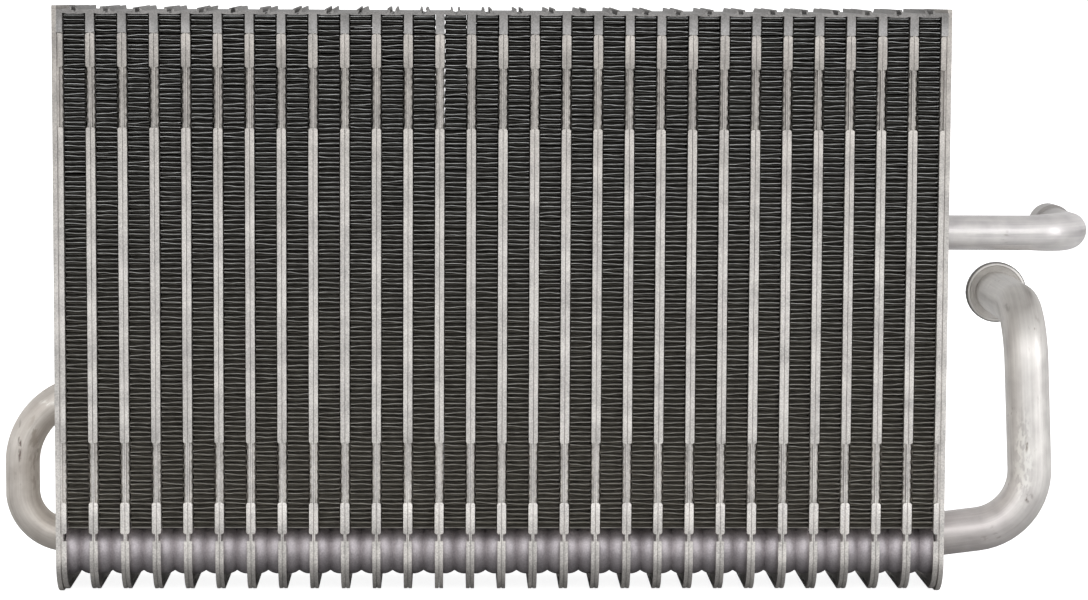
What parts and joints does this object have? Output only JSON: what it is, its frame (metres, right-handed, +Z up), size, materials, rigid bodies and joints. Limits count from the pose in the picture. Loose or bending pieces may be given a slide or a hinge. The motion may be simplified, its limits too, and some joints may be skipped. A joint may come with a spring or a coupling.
{
  "type": "evaporator core",
  "caption": "Laminated aluminium evaporator core: flat tubes with corrugated fins between them, a cup tank along the bottom, and pipes at both ends.",
  "frame": {"origin": "middle of the centre tube's bottom edge", "axes": "+X along the stack of tubes towards the two pipes, +Y with the air, towards the pipes' open ends, +Z up from the tank"},
  "size_m": [0.3952, 0.1281, 0.2065],
  "materials": {
    "tube_plates": "matte brazed sheet",
    "fin_strip": "matte coated strip",
    "end_sheets": "matte brazed sheet",
    "drawn_pipe": "drawn, lightly scuffed"
  },
  "bodies": {
    "root": {"tube_01": "tube_plates", "tube_02": "tube_plates", "tube_03": "tube_plates", "tube_04": "tube_plates", "tube_05": "tube_plates", "tube_06": "tube_plates", "tube_07": "tube_plates", "tube_08": "tube_plates", "tube_09": "tube_plates", "tube_10": "tube_plates", "tube_11": "tube_plates", "tube_12": "tube_plates", "tube_13": "tube_plates", "tube_14": "tube_plates", "tube_15": "tube_plates", "tube_16": "tube_plates", "tube_17": "tube_plates", "tube_18": "tube_plates", "tube_19": "tube_plates", "tube_20": "tube_plates", "tube_21": "tube_plates", "tube_22": "tube_plates", "tube_23": "tube_plates", "tube_24": "tube_plates", "tube_25": "tube_plates", "tube_26": "tube_plates", "tube_27": "tube_plates", "fin_01": "fin_strip", "fin_02": "fin_strip", "fin_03": "fin_strip", "fin_04": "fin_strip", "fin_05": "fin_strip", "fin_06": "fin_strip", "fin_07": "fin_strip", "fin_08": "fin_strip", "fin_09": "fin_strip", "fin_10": "fin_strip", "fin_11": "fin_strip", "fin_12": "fin_strip", "fin_13": "fin_strip", "fin_14": "fin_strip", "fin_15": "fin_strip", "fin_16": "fin_strip", "fin_17": "fin_strip", "fin_18": "fin_strip", "fin_19": "fin_strip", "fin_20": "fin_strip", "fin_21": "fin_strip", "fin_22": "fin_strip", "fin_23": "fin_strip", "fin_24": "fin_strip", "fin_25": "fin_strip", "fin_26": "fin_strip", "fin_27": "fin_strip", "fin_28": "fin_strip", "end_plate_left": "end_sheets", "end_plate_right": "end_sheets", "crossover_pipe": "drawn_pipe", "suction_pipe": "drawn_pipe", "liquid_pipe": "drawn_pipe"}
  },
  "joints": []
}
